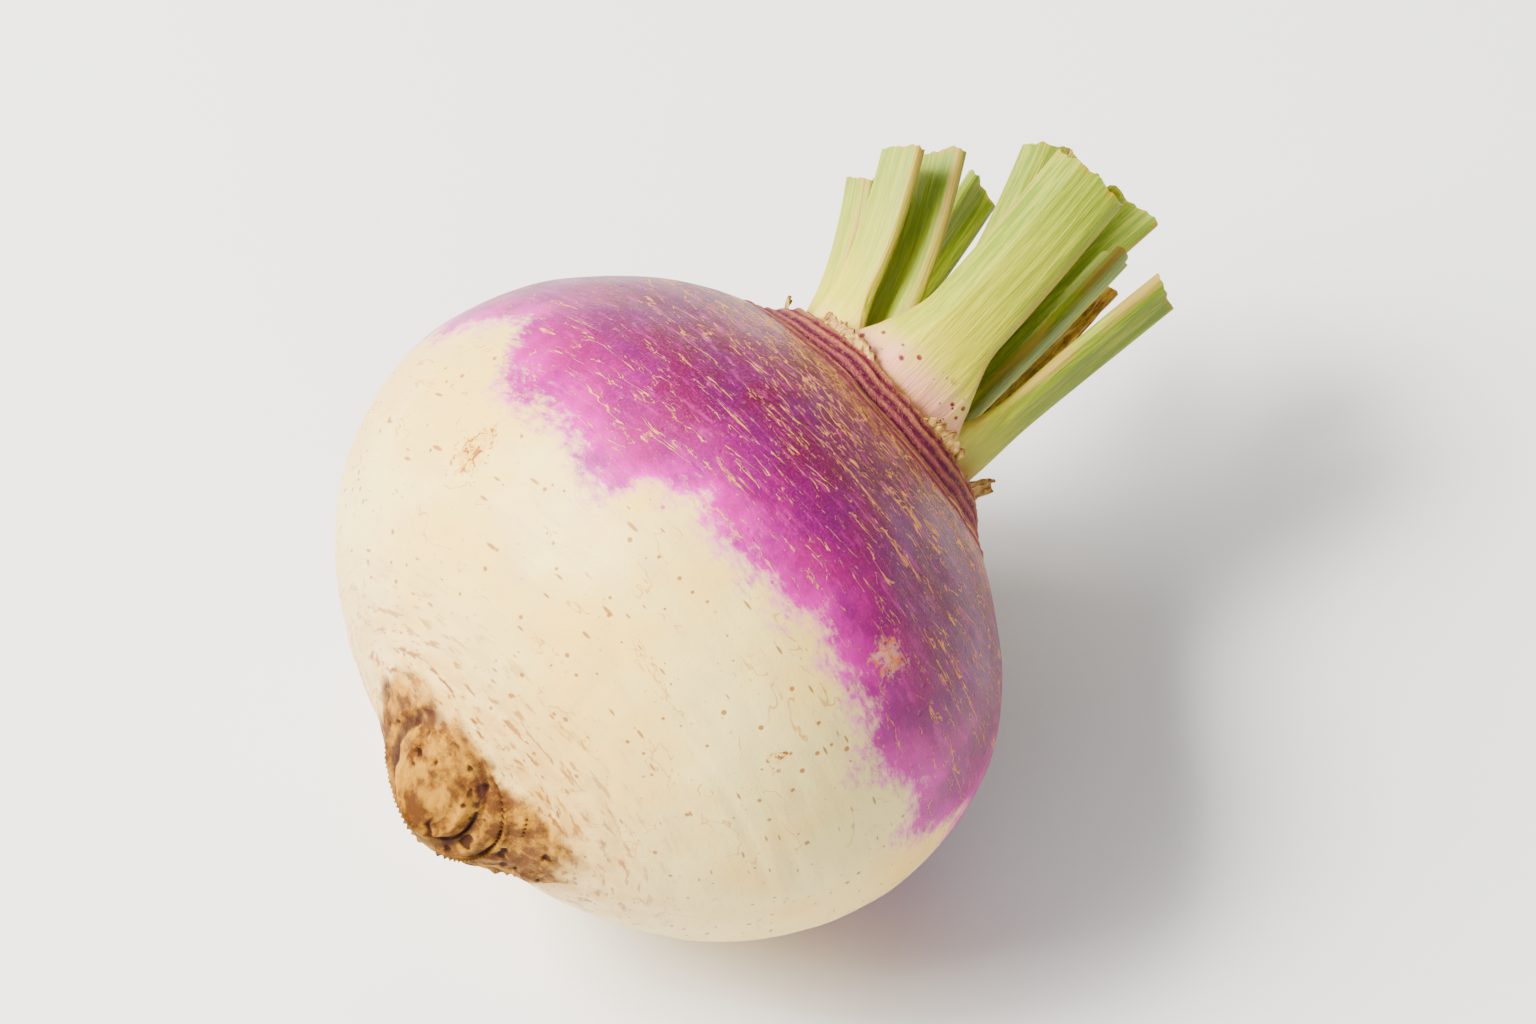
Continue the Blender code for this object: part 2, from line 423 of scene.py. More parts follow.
def blemish_group():
    """One mark on the skin: a soft stain with a tangle of fine brown cracks inside it."""
    group, given, out = new_group(
        "blemish",
        [("Vector", "Vector", None), ("Place", "Vector", None), ("Reach", "Float", 1.5)],
        [("Stain", "Float"), ("Cracks", "Float")],
    )
    vector = given.outputs["Vector"]
    reach = given.outputs["Reach"]
    ends = {0: vector, 1: given.outputs["Place"]}
    away = put(group, "VectorMath", ends, operation="DISTANCE").outputs["Value"]
    ragged = maths(group, "SUBTRACT", cloud(group, vector, 1.1, 4.0, 0.7), 0.5)
    uneven = maths(group, "MULTIPLY", ragged, maths(group, "MULTIPLY", reach, 3.2))
    away = maths(group, "ADD", away, uneven)
    inner = maths(group, "MULTIPLY", reach, 0.2)
    stain = put(
        group,
        "MapRange",
        {"Value": away, "From Min": reach, "From Max": inner},
        interpolation_type="SMOOTHSTEP",
    ).outputs[0]
    tangle = maths(group, "SUBTRACT", cloud(group, vector, 0.6, 3.0, 0.6, 0.6), 0.5)
    tangle = maths(group, "ABSOLUTE", tangle)
    cracks = maths(group, "MULTIPLY", span(group, tangle, 0.045, 0.012), span(group, stain, 0.1, 0.5))
    group.links.new(stain, out.inputs["Stain"])
    group.links.new(cracks, out.inputs["Cracks"])
    return group


def tint(tree, base, share, shade, strength=1.0):
    """A colour tinted with another one where a mask allows it."""
    if strength != 1.0:
        share = maths(tree, "MULTIPLY", share, strength)
    return blend_colours(tree, share, base, shade)


def spots(tree, vector, scale, size, share):
    inputs = {"Vector": vector, "Scale": scale, "Size": size, "Share": share}
    return use_group(tree, FRECKLES, inputs).outputs[0]


def broken_lines(tree, skin, drawn_out, scale, width, share):
    """Corky lines that run round the root, drawn out along their length."""
    vector = stretched(tree, skin, 1.0, drawn_out, drawn_out)
    inputs = {"Vector": vector, "Scale": scale, "Width": width, "Share": share}
    return use_group(tree, CORKY_LINES, inputs).outputs[0]


FRECKLES = freckle_group()
BLEMISH = blemish_group()
CORKY_LINES = corky_line_group()
FIBRES = fibre_group()


def new_material(name, roughness=0.5, specular=0.4):
    """A material with one Principled BSDF, and its tree and shader."""
    material = bpy.data.materials.new(name)
    material.use_nodes = True
    tree = material.node_tree
    shader = tree.nodes["Principled BSDF"]
    shader.inputs["Roughness"].default_value = roughness
    shader.inputs["Specular IOR Level"].default_value = specular
    return material, tree, shader


def bump_into(tree, shader, height, depth):
    """Height in millimetres, pressed into the shader's normal."""
    made = put(tree, "Bump", {"Height": height, "Distance": depth, "Strength": 1.0})
    tree.links.new(made.outputs["Normal"], shader.inputs["Normal"])


# ---------------------------------------------------------------------------------------------
# Where things lie on the root's skin. Turns are from the crown's leaning side, in degrees.

PURPLE_EDGE = (
    # turn, x in millimetres where the purple ends
    (-180, -3.0), (-160, 2.0), (-140, -5.5), (-120, -1.0), (-100, -4.0), (-84, 1.0), (-75, -0.7),
    (-68, 1.3), (-59, 3.6), (-55, -0.5), (-52, -3.6), (-44, -5.4), (-38, -5.0), (-31, -5.8),
    (-26, -8.3), (-20, -8.0), (-17, -5.2), (-14, -2.8), (-9, -2.0), (-3, -3.2), (2, -2.8),
    (9, -2.6), (15, -1.6), (20, 0.2), (25, -1.4), (30, -2.0), (37, -1.0), (43, -3.4), (48, -3.8),
    (54, -0.6), (60, 0.6), (66, -3.2), (72, 0.5), (78, 7.5), (86, 4.0), (96, -2.0), (110, 2.5),
    (126, -4.5), (145, 1.5), (164, -5.0), (180, -3.0),
)  # fmt: skip


BLEMISHES = (
    # place in millimetres, reach in millimetres and strength of the stain
    ((-19.7, 1.7, 68.4), 1.7, 0.30), ((-19.2, -13.4, 65.8), 1.5, 0.35), ((-12.1, 16.3, 68.5), 2.6, 0.6),
    ((-9.6, 15.8, 69.7), 1.8, 0.5), ((-28.7, 11.9, 56.4), 1.7, 0.6), ((-20.9, -20.6, 59.6), 1.5, 0.35),
    ((-19.8, 18.2, 62.5), 1.3, 0.4), ((-27.2, -24.0, 41.0), 2.0, 0.5), ((-28.8, -19.9, 47.6), 1.4, 0.4),
    ((-11.4, -29.1, 57.6), 1.8, 0.45), ((-28.0, 7.2, 59.6), 2.0, 0.4), ((-8.0, -20.0, 8.5), 2.4, 0.5),
    ((-14.0, 28.0, 22.0), 2.2, 0.5), ((-20.0, 12.0, 12.0), 1.8, 0.4),
)  # fmt: skip
HEALED_PATCH = (5.2, -30.2, 59.9)  # millimetres, in the purple
SCAR = (-35.8, 0.6, 5.6)  # the round scar at the stub's end, in the millimetres of spot
SCAR_RADIUS = 3.1


def purple_edge(turn):
    turns, places = zip(*PURPLE_EDGE)
    return np.interp(np.degrees(turn), turns, places) * MM


def crown_height(out):
    """How far along the axis the crown end's surface lies, at a distance out from the axis."""
    round_x = CROWN_DEPTH * np.sqrt(np.clip(1 - (out / GIRTH_RADIUS) ** 2, 0, 1))
    shoulder = smooth_step(CROWN_RADIUS, SHOULDER_RADIUS, out)
    return CROWN_FLOOR + (round_x - CROWN_FLOOR) * shoulder


def stub_profile(out):
    return STUB_HEIGHT * np.exp(-((out / STUB_SPREAD) ** STUB_BLUNTNESS))


def grown_length(polar):
    """Distance along the skin from the crown's pole, in millimetres."""
    steps = np.linspace(0, math.pi, 2000)
    out = GIRTH_RADIUS * np.sin(steps)
    x = np.where(steps < math.pi / 2, crown_height(out), ROOT_DEPTH * np.cos(steps) - stub_profile(out))
    run = np.concatenate([[0], np.cumsum(np.hypot(np.diff(x), np.diff(out)))])
    return np.interp(polar, steps, run) / MM


NECK_RIDGES = (
    # distance from the axis, height and width, in millimetres
    (19.4, 0.16, 0.30), (18.5, 0.42, 0.20), (18.0, -0.50, 0.24), (17.45, 0.30, 0.18),
    (17.0, -0.45, 0.22), (16.5, 0.34, 0.24), (15.9, -0.34, 0.22), (15.3, 0.30, 0.26),
    (14.7, -0.30, 0.22), (14.1, 0.32, 0.28), (13.4, -0.22, 0.24), (12.8, 0.20, 0.30),
)  # fmt: skip


def root_body():
    """The swollen root: a fine sphere drawn over the root's shape, with its rings and wrinkles."""
    select_none()
    bpy.ops.mesh.primitive_uv_sphere_add(
        segments=360,
        ring_count=270,
        radius=GIRTH_RADIUS,
        location=(0, 0, AXIS_HEIGHT),
        rotation=(0, math.pi / 2, 0),
    )
    piece = name_new("turnip_root")
    settle(piece)
    co = corners(piece) - np.array([0, 0, AXIS_HEIGHT])
    even = np.arccos(np.clip(co[:, 0] / GIRTH_RADIUS, -1, 1))
    polar = even - 0.25 * np.sin(2 * even)
    turn = np.arctan2(co[:, 2], co[:, 1])
    out = GIRTH_RADIUS * np.sin(polar)
    around = np.column_stack([np.zeros(len(co)), np.cos(turn), np.sin(turn)])
    crown_end = polar < math.pi / 2
    x = np.where(crown_end, crown_height(out), ROOT_DEPTH * np.cos(polar) - stub_profile(out))
    uneven = np.where(crown_end, smooth_step(CROWN_RADIUS, SHOULDER_RADIUS, out), 1)
    point = np.outer(x, AXIS) + around * out[:, None]
    lump = LUMP_HEIGHT * np.array([noise.noise(Vector(p)) for p in point / LUMP_SIZE]) * np.sin(polar)
    oval = OVAL * out * np.cos(2 * (turn - OVAL_TURN))
    cheek = CHEEK_HEIGHT * ridge(x, CHEEK_X, CHEEK_LENGTH)
    cheek = cheek * np.clip(np.cos(turn - CHEEK_TURN), 0, 1) ** 1.5
    point = point + around * ((lump + oval + cheek) * uneven)[:, None]
    grown = grown_length(polar)
    skin = np.column_stack([grown, np.cos(turn) * 38, np.sin(turn) * 38])
    spot = point / MM

    # The neck's rings wander a little in and out as they go round.
    wander = 0.55 * grain(skin * [0.15, 1, 1], 14, 3) + 0.22 * grain(skin * [0.3, 1, 1], 5, 5)
    ring = out / MM + wander
    rings = np.zeros(len(co))
    for centre, height, width in NECK_RIDGES:
        worn = 0.75 + 0.45 * grain(skin * [1, 1, 1], 9, 8 + centre)
        rings += height * worn * ridge(ring, centre, width)
    rings = 0.65 * rings * smooth_step(20.5, 18, out / MM) * crown_end
    flaky = layered_grain(skin, np.array([0.8, 2.2, 2.2]), 3, 21) * ridge(out / MM, 13.6, 1.6) * crown_end

    # The stub is wrinkled crosswise, with cracks and pits.
    ragged = 2.2 * layered_grain(skin * [1, 0.35, 0.35], 4.5, 3, 31)
    stub = smooth_step(17.0, 9.5, out / MM + ragged) * ~crown_end
    from_scar = np.linalg.norm((spot - SCAR) * [0.7, 1.0, 1.0], axis=1)
    curl = np.column_stack([from_scar, spot[:, 1] * 0.16, spot[:, 2] * 0.16])
    wrinkle = layered_grain(curl, 1.8, 3, 41)
    crease = ridge(layered_grain(curl, 2.6, 2, 48), 0, 0.11)
    slits = ridge(grain(curl * [1, 1.8, 1.8], 2.3, 44), 0, 0.075)
    slits = slits * smooth_step(-0.15, 0.15, grain(spot, 2.6, 45))
    pits = smooth_step(0.52, 0.78, grain(spot, 1.25, 51))
    corky = 0.46 * wrinkle + 0.44 * crease - 0.40 * slits - 0.34 * pits
    corky = corky + 0.08 * layered_grain(spot, 1.4, 2, 47)
    lobes = 0.55 * grain(spot, 6.0, 55)
    scar = smooth_step(3.3, 2.5, from_scar)
    corky = corky * (1 - 0.6 * scar) + 0.30 * ridge(from_scar, SCAR_RADIUS, 0.35)
    corky = corky + 0.06 * scar * np.cos(from_scar * 5)

    # Gentle dents and pores on the rest of the skin, and faint furrows that run into the stub.
    dents = 0.16 * grain(spot, 9, 61) + 0.07 * grain(spot, 4, 62) + 0.018 * grain(spot, 1.3, 63)
    lengthwise = np.column_stack([grown * 0.02, np.cos(turn) * 9, np.sin(turn) * 9])
    furrows = -0.05 * ridge(grain(lengthwise, 1.0, 71), 0, 0.12) * smooth_step(66, 88, grown) * (1 - stub)
    waists = -0.14 * ridge(grain(skin * [1, 0.22, 0.22], 3.4, 75), 0, 0.14) * smooth_step(52, 82, grown)

    co = leant(point, LEAN * smooth_step(0, LEAN_END_X, x)) + np.array([0, 0, AXIS_HEIGHT])
    move_corners(piece, co)
    lift = rings + 0.22 * flaky + stub * (corky + lobes) + (1 - stub) * (dents + waists) + furrows
    lift = np.where(crown_end & (out / MM < 12), 0, lift)
    co = co + corner_normals(piece) * (lift * MM)[:, None]
    move_corners(piece, co)

    lean_turn = np.arctan2(point @ SIDE, point @ UP)
    keep_values(piece, "skin", skin)
    keep_values(piece, "ring", np.where(crown_end, ring, 60.0))
    keep_values(piece, "purple", (x - purple_edge(lean_turn)) / MM)
    keep_values(piece, "stub", stub)
    hollows = np.clip(slits + pits + 0.7 * smooth_step(0.0, -0.8, wrinkle), 0, 1)
    keep_values(piece, "crack", stub * (1 - 0.7 * scar) * hollows)

    # The flat spot that it rests on.
    pick(piece, "FACE", lambda face: True)
    bpy.ops.mesh.select_all(action="SELECT")
    bpy.ops.mesh.bisect(plane_co=(0, 0, 0), plane_no=(0, 0, -1), use_fill=True, clear_outer=True)
    bpy.ops.object.mode_set(mode="OBJECT")
    face_out(piece)
    smooth(piece)
    return piece


# ---------------------------------------------------------------------------------------------
# The leaf stalks.

STALK_RISE = 0.36
CLASP = 0.05 / MM
SHEATH_END = 0.45
STALK_SIDES = 88
STALK_RINGS = 84
SINK = 1.1 * MM  # how far a stalk's foot grows into the crown

# name: foot's side and up, tip's side, up and x, facing, foot and top widths, thickness, keel's
# place across the outer face, depth of the channel, slant of the cut, tone from pale to deep green
STALKS = {
    "leaf_stalk_1": (-10.7, -3.7, -19.4, -4.0, 50.2, -100, 9.4, 5.4, 3.8, -0.2, 0.34, 0.3, 0.35),
    "leaf_stalk_2": (-9.9, 3.2, -18.7, 4.5, 53.7, -66, 11.2, 6.0, 3.8, 0.35, 0.30, -0.6, 0.2),
    "leaf_stalk_3": (-4.6, 1.2, -15.4, -1.0, 57.6, -75, 8.4, 6.8, 4.6, 0.3, 0.45, -0.3, 0.85),
    "leaf_stalk_4": (-6.0, -8.8, -10.4, -11.0, 60.0, -145, 6.6, 5.2, 3.6, 0.0, 0.36, -0.5, 0.95),
    "leaf_stalk_5": (0.6, 4.6, -8.8, 2.0, 66.0, -12, 6.4, 5.0, 3.2, 0.2, 0.30, -0.5, 0.6),
    "leaf_stalk_6": (-0.2, 10.2, -3.1, 9.3, 65.9, -2, 17.5, 9.2, 4.6, 0.42, 0.30, 0.1, 0.35),
    "leaf_stalk_7": (1.6, -7.6, 2.2, -7.5, 70.6, 172, 7.4, 7.0, 4.0, 0.0, 0.40, 0.3, 0.75),
    "leaf_stalk_8": (9.6, 3.0, 10.9, 4.0, 64.2, 74, 12.4, 5.8, 3.8, -0.3, 0.32, 0.3, 0.5),
    "leaf_stalk_9": (0.8, -1.2, -4.6, -3.2, 68.8, 180, 5.6, 4.8, 3.4, 0.0, 0.36, -0.3, 0.5),
    "leaf_stalk_10": (6.0, -0.6, 4.6, -0.4, 63.9, 100, 5.4, 5.6, 3.4, 0.1, 0.34, 0.5, 0.8),
    "withered_stalk": (8.6, -7.2, 7.4, -8.5, 62.5, 130, 3.4, 2.4, 1.6, 0.0, 0.30, 0.4, 0.0),
}


def stalk(name, row, seed):
    """A cut leaf stalk: a cylinder, ringed and capped finely, drawn over the stalk's shape."""
    foot_side, foot_up, tip_side, tip_up, tip_x, facing, foot, top, thick, keel, channel, slant, tone = row
    withered = name == "withered_stalk"
    select_none()
    bpy.ops.mesh.primitive_cylinder_add(vertices=STALK_SIDES, radius=1, depth=1, location=(0, 0, 0.5))
    piece = name_new(name.replace("leaf_stalk", "cut_stalk").replace("withered_stalk", "withered_leaf_stalk"))
    settle(piece)
    mesh = piece.data

    def runs_up(edge):
        low, high = (mesh.vertices[corner].co.z for corner in edge.vertices)
        return abs(high - low) > 0.5

    pick(piece, "EDGE", runs_up)
    bpy.ops.mesh.subdivide(number_cuts=STALK_RINGS - 1)
    for end in (0, 1):
        pick(piece, "FACE", lambda face: len(face.vertices) > 4 and abs(face.center.z - end) < 0.01)
        for _ in range(7):
            bpy.ops.mesh.inset(thickness=0.125)
        bpy.ops.mesh.poke()
    bpy.ops.object.mode_set(mode="OBJECT")
    co = corners(piece)
    share = np.clip(co[:, 2], 0, 1)
    angle = np.arctan2(co[:, 1], co[:, 0])
    rim = np.clip(np.hypot(co[:, 0], co[:, 1]), 0, 1)
    at_tip = smooth_step(0.9, 1.0, share)

    # The middle line and its directions.
    start = np.array([CROWN_FLOOR - SINK, foot_side * MM, foot_up * MM])
    tip = np.array([tip_x * MM, tip_side * MM, tip_up * MM])
    bend = start + np.array([(tip[0] - start[0]) * STALK_RISE, 0, 0])
    low = start + np.outer(share, bend - start)
    high = bend + np.outer(share, tip - bend)
    middle = low + (high - low) * share[:, None]
    along = (bend - start) + np.outer(share, (tip - bend) - (bend - start))
    along /= np.linalg.norm(along, axis=1)[:, None]
    outer = np.array([0, math.sin(math.radians(facing)), math.cos(math.radians(facing))])
    outer = outer - along * (along @ outer)[:, None]
    outer /= np.linalg.norm(outer, axis=1)[:, None]
    across = np.cross(along, outer)

    # The section: wide and keeled on its outer face, channelled on its inner face.
    length = np.linalg.norm(tip - start) / MM
    flare = 1 - smooth_step(0, SHEATH_END, share)
    half_width = (top + (foot - top) * flare) / 2
    power = 2 / 2.5
    wide = np.sign(np.cos(angle)) * np.abs(np.cos(angle)) ** power
    depth = np.sign(np.sin(angle)) * np.abs(np.sin(angle)) ** power
    outside = smooth_step(-0.1, 0.3, depth)
    inside = 1 - outside
    keeled = np.where(wide > keel, (1 - wide) / (1 - keel), (1 + wide) / (1 + keel))
    depth = depth * (1 - outside * 0.52 * (1 - keeled)) + outside * 0.22 * keeled
    depth = depth + inside * 2 * channel * (1 - wide * wide) * (1 - flare)
    strand = np.column_stack([share * length * 0.045, wide * half_width, depth * thick / 2])
    ribs = 0.10 * grain(strand, 0.85, seed) + 0.05 * grain(strand, 0.4, seed + 1)
    ribs = ribs + 0.10 * grain(strand * [3, 1, 1], 2.2, seed + 2)
    if withered:
        ribs = ribs * 2.2 + 0.3 * grain(strand * [9, 1, 1], 1.1, seed + 3)
    clasp = CLASP * MM * flare * (half_width * wide) ** 2
    offset_wide = (half_width * wide + ribs * np.cos(angle)) * rim
    offset_deep = (thick / 2 * depth + ribs * np.sin(angle)) * rim - clasp * rim**2

    # The cut: slanted, a little hollow, and torn along its edge.
    place_in_section = np.column_stack([offset_wide, offset_deep, np.full(len(co), seed)])
    torn = 0.28 * grain(place_in_section, 0.55, seed + 5) + 0.30 * grain(place_in_section, 1.5, seed + 6)
    lip = 0.25 * ridge(rim, 0.92, 0.12) - 0.30 * (1 - rim**2)
    cut = at_tip * (slant * offset_wide * 0.45 + torn + lip)
    point = middle + along * (cut * MM)[:, None]
    point += across * (offset_wide * MM)[:, None] + outer * (offset_deep * MM)[:, None]
    move_corners(piece, on_crown(point[:, 0], point[:, 1], point[:, 2]))
    face_out(piece)
    smooth(piece, 55)
    keep_values(piece, "strand", np.column_stack([share * length, offset_wide, offset_deep]))
    keep_values(piece, "section", np.column_stack([share, wide * rim, depth * rim]))
    on_cut = (share > 0.999) * smooth_step(0.99, 0.86, rim)
    keep_values(piece, "cut_end", on_cut)
    # Painted shade: the outer face beyond the keel, turned away from the light, is painted a deeper green
    # through the tone.
    shaded_far_face = smooth_step(keel - 0.03, keel + 0.12, wide) * outside * (1 - 0.6 * flare)
    keep_values(piece, "tone", tone + 0.6 * shaded_far_face * (not withered))
    keep_values(piece, "sheath", flare * (0.55 + 0.45 * (name == "leaf_stalk_6")))
    return piece


# ---------------------------------------------------------------------------------------------
# The dry leaf bases.

FLAKES = {
    # name: facing, distance from the axis, width and height
    "dry_leaf_base_1": (-90, 15.0, 5.0, 1.4),
    "dry_leaf_base_2": (-36, 13.9, 11.0, 1.3),
    "dry_leaf_base_3": (30, 13.9, 8.0, 1.7),
    "dry_leaf_base_4": (76, 13.8, 8.0, 2.3),
    "dry_leaf_base_5": (145, 13.4, 8.0, 2.8),
    "dry_leaf_base_6": (-150, 13.4, 8.0, 2.6),
}


def flake(name, row, seed):
    """A dry leaf base: a fine grid, bent round the neck, crinkled, and given its thickness."""
    facing, foot_out, width, height = row
    select_none()
    bpy.ops.mesh.primitive_grid_add(x_subdivisions=72, y_subdivisions=28, size=1)
    piece = name_new(name.replace("dry_leaf_base", "dry_sheath"))
    settle(piece)
    co = corners(piece)
    wide, up = co[:, 0], co[:, 1] + 0.5
    edge = np.column_stack([wide * width, np.full(len(co), seed * 3.1), np.zeros(len(co))])
    ragged = 1 + 0.35 * grain(edge, 1.3, seed) + 0.25 * grain(edge, 0.5, seed + 1)
    tall = up * height * (1 - 1.1 * wide**2) * ragged + (up - 1) * 0.9
    sheet = np.column_stack([tall, wide * width, np.zeros(len(co))])
    crinkle = 0.42 * grain(sheet, 1.5, seed + 2) + 0.22 * grain(sheet, 0.6, seed + 3)
    crinkle = crinkle * (0.3 + 0.7 * up)
    lean = math.radians(22)
    out = foot_out + tall * math.sin(lean) + crinkle + 0.8 * up * wide**2
    foot_x = crown_height(np.full(len(co), foot_out * MM)) / MM + 0.05
    x = foot_x + tall * math.cos(lean)
    turn = math.radians(facing) + wide * (1 - 0.3 * up) * width / foot_out
    move_corners(piece, on_crown(x * MM, out * np.sin(turn) * MM, out * np.cos(turn) * MM))
    keep_values(piece, "strand", np.column_stack([tall, wide * width, crinkle]))
    keep_values(piece, "tone", up)
    apply_modifier(piece, "SOLIDIFY", thickness=0.22 * MM, offset=0)
    face_out(piece)
    smooth(piece, 60)
    return piece


# ---------------------------------------------------------------------------------------------
# Materials.


def root_skin():
    material, tree, shader = new_material("turnip_skin", 0.36, 0.2)
    spot = put(tree, "TexCoord").outputs["Object"]
    spot = put(tree, "VectorMath", {0: spot, "Scale": 1000.0}, operation="SCALE").outputs[0]
    skin = put(tree, "Attribute", attribute_name="skin").outputs["Vector"]
    grown = put(tree, "SeparateXYZ", {0: skin}).outputs[0]
    ring = put(tree, "Attribute", attribute_name="ring").outputs["Fac"]
    purple = put(tree, "Attribute", attribute_name="purple").outputs["Fac"]
    stub = put(tree, "Attribute", attribute_name="stub").outputs["Fac"]
    crack = put(tree, "Attribute", attribute_name="crack").outputs["Fac"]
    streaky = stretched(tree, skin, 1.0, 0.24, 0.24)

    # Cream skin.
    broad = cloud(tree, spot, 0.05, 3.0, 0.55)
    cream = blend_colours(tree, span(tree, broad, 0.35, 0.65), colour(255, 231, 174), colour(247, 212, 146))
    veins = cloud(tree, streaky, 0.42, 4.0, 0.6)
    cream = blend_colours(tree, span(tree, veins, 0.46, 0.74, 0, 0.5), cream, colour(222, 196, 152))
    toward_stub = span(tree, grown, 74, 96)
    cream = tint(tree, cream, toward_stub, colour(222, 190, 140), 0.55)
    dashes = spots(tree, streaky, 0.95, 0.27, 0.6)
    dots = spots(tree, spot, 0.62, 0.25, 0.6)
    tiny = spots(tree, spot, 1.5, 0.3, 0.25)
    cream = tint(tree, cream, tiny, colour(190, 136, 60), 0.5)
    cream = tint(tree, cream, dots, colour(150, 98, 28), 0.85)
    cream = tint(tree, cream, dashes, colour(138, 84, 26), 0.75)
    scratches = broken_lines(tree, skin, 0.55, 0.20, 0.010, 0.55)
    cream = tint(tree, cream, scratches, colour(190, 134, 66), 0.6)
    for place_mm, reach, strength in BLEMISHES:
        mark = use_group(tree, BLEMISH, {"Vector": spot, "Place": place_mm, "Reach": reach})
        cream = tint(tree, cream, mark.outputs["Stain"], colour(210, 156, 78), strength)
        cream = tint(tree, cream, mark.outputs["Cracks"], colour(138, 82, 32), 0.9)

    # Purple shoulder, feathered at its edge and duller towards the neck.
    feather = maths(tree, "SUBTRACT", cloud(tree, spot, 0.30, 3.0, 0.6), 0.5)
    speckle = cloud(tree, stretched(tree, skin, 1.0, 0.45, 0.45), 1.5, 3.0, 0.65)
    speckle = maths(tree, "SUBTRACT", speckle, 0.5)
    fine = maths(tree, "SUBTRACT", cloud(tree, spot, 5.5, 2.0, 0.6), 0.5)
    reach = maths(tree, "MULTIPLY_ADD", feather, 8.0, purple)
    reach = maths(tree, "MULTIPLY_ADD", speckle, 9.0, reach)
    reach = maths(tree, "MULTIPLY_ADD", fine, 2.4, reach)
    tinted = span(tree, reach, -2.2, 3.0)
    depth = maths(tree, "DIVIDE", maths(tree, "MULTIPLY_ADD", feather, 9.0, purple), 34.0, clamp=True)
    shade = colour_ramp(
        tree,
        depth,
        [
            (0.0, colour(224, 100, 184)),
            (0.08, colour(186, 52, 146)),
            (0.22, colour(138, 22, 100)),
            (0.45, colour(98, 14, 66)),
            (0.72, colour(76, 16, 44)),
            (0.88, colour(90, 32, 50)),
            (1.0, colour(84, 38, 44)),
        ],
    )
    mottle = cloud(tree, spot, 0.16, 4.0, 0.6)
    shade = blend_colours(tree, span(tree, mottle, 0.40, 0.66, 0, 0.55), shade, colour(88, 22, 84))
    granular = cloud(tree, spot, 3.4, 2.0, 0.7)
    shade = blend_colours(tree, span(tree, granular, 0.45, 0.70, 0, 0.24), shade, colour(192, 72, 148))
    strokes = cloud(tree, stretched(tree, skin, 1.0, 0.3, 0.3), 0.8, 4.0, 0.65)
    shade = blend_colours(tree, span(tree, strokes, 0.52, 0.72, 0, 0.42), shade, colour(194, 84, 148))
    healed = use_group(tree, BLEMISH, {"Vector": spot, "Place": HEALED_PATCH, "Reach": 3.0})
    shade = tint(tree, shade, healed.outputs["Stain"], colour(226, 170, 150), 0.75)
    shade = blend_colours(tree, healed.outputs["Cracks"], shade, colour(200, 120, 70))
    skin_colour = blend_colours(tree, tinted, cream, shade)

    # Corky lines, thick near the neck and sparse below.
    near_neck = span(tree, grown, 44, 20)
    density = maths(tree, "MULTIPLY_ADD", near_neck, 0.30, 0.55)
    lines = broken_lines(tree, skin, 0.26, 0.42, 0.020, density)
    hair_lines = broken_lines(tree, skin, 0.30, 0.85, 0.020, density)
    purple_part = span(tree, purple, -1.0, 5.0)
    lines = maths(tree, "MAXIMUM", lines, maths(tree, "MULTIPLY", hair_lines, 0.75))
    lines = maths(tree, "MULTIPLY", lines, purple_part)
    skin_colour = tint(tree, skin_colour, lines, colour(222, 162, 116), 0.85)

    # The corky band below the neck, and the rings of the neck itself.
    patchy = cloud(tree, stretched(tree, skin, 1.0, 0.22, 0.22), 0.9, 4.0, 0.65)
    band = maths(tree, "MULTIPLY", span(tree, ring, 23.5, 21.0), span(tree, ring, 18.6, 19.8))
    band = maths(tree, "MULTIPLY", band, span(tree, patchy, 0.44, 0.56))
    skin_colour = tint(tree, skin_colour, band, colour(205, 152, 104), 0.45)
    rings = colour_ramp(
        tree,
        maths(tree, "DIVIDE", maths(tree, "SUBTRACT", ring, 12.0), 8.0, clamp=True),
        [
            (0.0, colour(166, 150, 84)),
            (0.10, colour(184, 148, 98)),
            (0.18, colour(136, 84, 70)),
            (0.26, colour(184, 138, 104)),
            (0.32, colour(100, 42, 58)),
            (0.36, colour(98, 36, 58)),
            (0.42, colour(168, 112, 94)),
            (0.47, colour(84, 28, 54)),
            (0.52, colour(96, 32, 62)),
            (0.57, colour(152, 92, 88)),
            (0.61, colour(92, 28, 60)),
            (0.66, colour(76, 20, 52)),
            (0.70, colour(168, 108, 96)),
            (0.74, colour(70, 18, 52)),
            (0.78, colour(110, 40, 76)),
            (0.81, colour(226, 184, 124)),
            (0.84, colour(130, 62, 80)),
            (1.0, colour(110, 42, 68)),
        ],
    )
    rough_rings = cloud(tree, stretched(tree, skin, 2.0, 0.5, 0.5), 1.2, 4.0, 0.6)
    rings = blend_colours(tree, span(tree, rough_rings, 0.5, 0.72, 0, 0.35), rings, colour(204, 160, 112))
    on_neck = span(tree, ring, 19.7, 18.9)
    skin_colour = blend_colours(tree, on_neck, skin_colour, rings)

